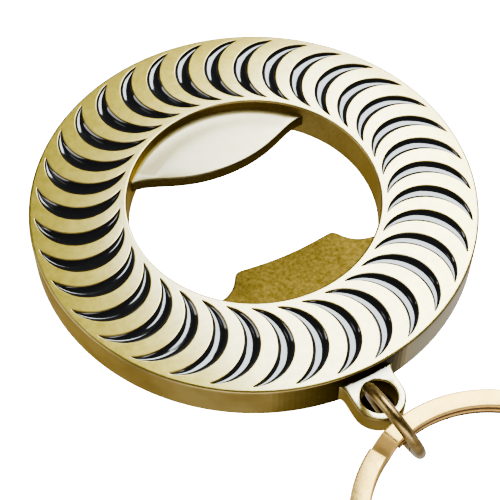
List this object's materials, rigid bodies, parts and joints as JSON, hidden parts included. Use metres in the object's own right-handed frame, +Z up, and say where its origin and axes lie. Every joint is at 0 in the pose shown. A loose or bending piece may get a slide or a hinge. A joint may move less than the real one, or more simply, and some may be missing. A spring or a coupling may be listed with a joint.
{
  "type": "keychain bottle opener",
  "caption": "Round keychain bottle opener: cast brass ring with enamelled crescents, cap rest and lip inside it, and a lug with a jump ring and a flat split key ring.",
  "frame": {"origin": "centre of the whole object's bounding box, at the height of its lowest point, which is under the jump ring", "axes": "+Z up, normal to the opener's flat back and out of its enamelled face; -Y from the opener's centre out through its lug to the key ring"},
  "size_m": [0.05, 0.085, 0.009],
  "materials": {
    "antique_brass": "antiqued and satin polished, with fine grain",
    "black_enamel": "glossy soft enamel, recessed",
    "bronze_wire": "browned antique plating, satin",
    "pale_gold": "polished pale gold plating"
  },
  "bodies": {
    "opener": {"opener_body": "antique_brass", "enamel_01": "black_enamel", "enamel_02": "black_enamel", "enamel_03": "black_enamel", "enamel_04": "black_enamel", "enamel_05": "black_enamel", "enamel_06": "black_enamel", "enamel_07": "black_enamel", "enamel_08": "black_enamel", "enamel_09": "black_enamel", "enamel_10": "black_enamel", "enamel_11": "black_enamel", "enamel_12": "black_enamel", "enamel_13": "black_enamel", "enamel_14": "black_enamel", "enamel_15": "black_enamel", "enamel_16": "black_enamel", "enamel_17": "black_enamel", "enamel_18": "black_enamel", "enamel_19": "black_enamel", "enamel_20": "black_enamel", "enamel_21": "black_enamel", "enamel_22": "black_enamel", "enamel_23": "black_enamel", "enamel_24": "black_enamel", "enamel_25": "black_enamel", "enamel_26": "black_enamel", "enamel_27": "black_enamel", "enamel_28": "black_enamel", "enamel_29": "black_enamel", "enamel_30": "black_enamel", "enamel_31": "black_enamel", "enamel_32": "black_enamel", "enamel_33": "black_enamel", "enamel_34": "black_enamel", "enamel_35": "black_enamel"},
    "jump_ring": {"jump_ring": "bronze_wire"},
    "key_ring": {"key_ring": "pale_gold"}
  },
  "joints": [
    {"name": "jump_ring_swing", "type": "hinge", "parent": "opener", "child": "jump_ring", "pos_m": [0, -0.01002, 0.0029], "axis": [0, 0, 1], "range_deg": [-40, 25]},
    {"name": "key_ring_flap", "type": "hinge", "parent": "jump_ring", "child": "key_ring", "pos_m": [0.00076, -0.01414, 0.00379], "axis": [-0.9833, -0.1822, 0], "range_deg": [-110, 100]}
  ]
}
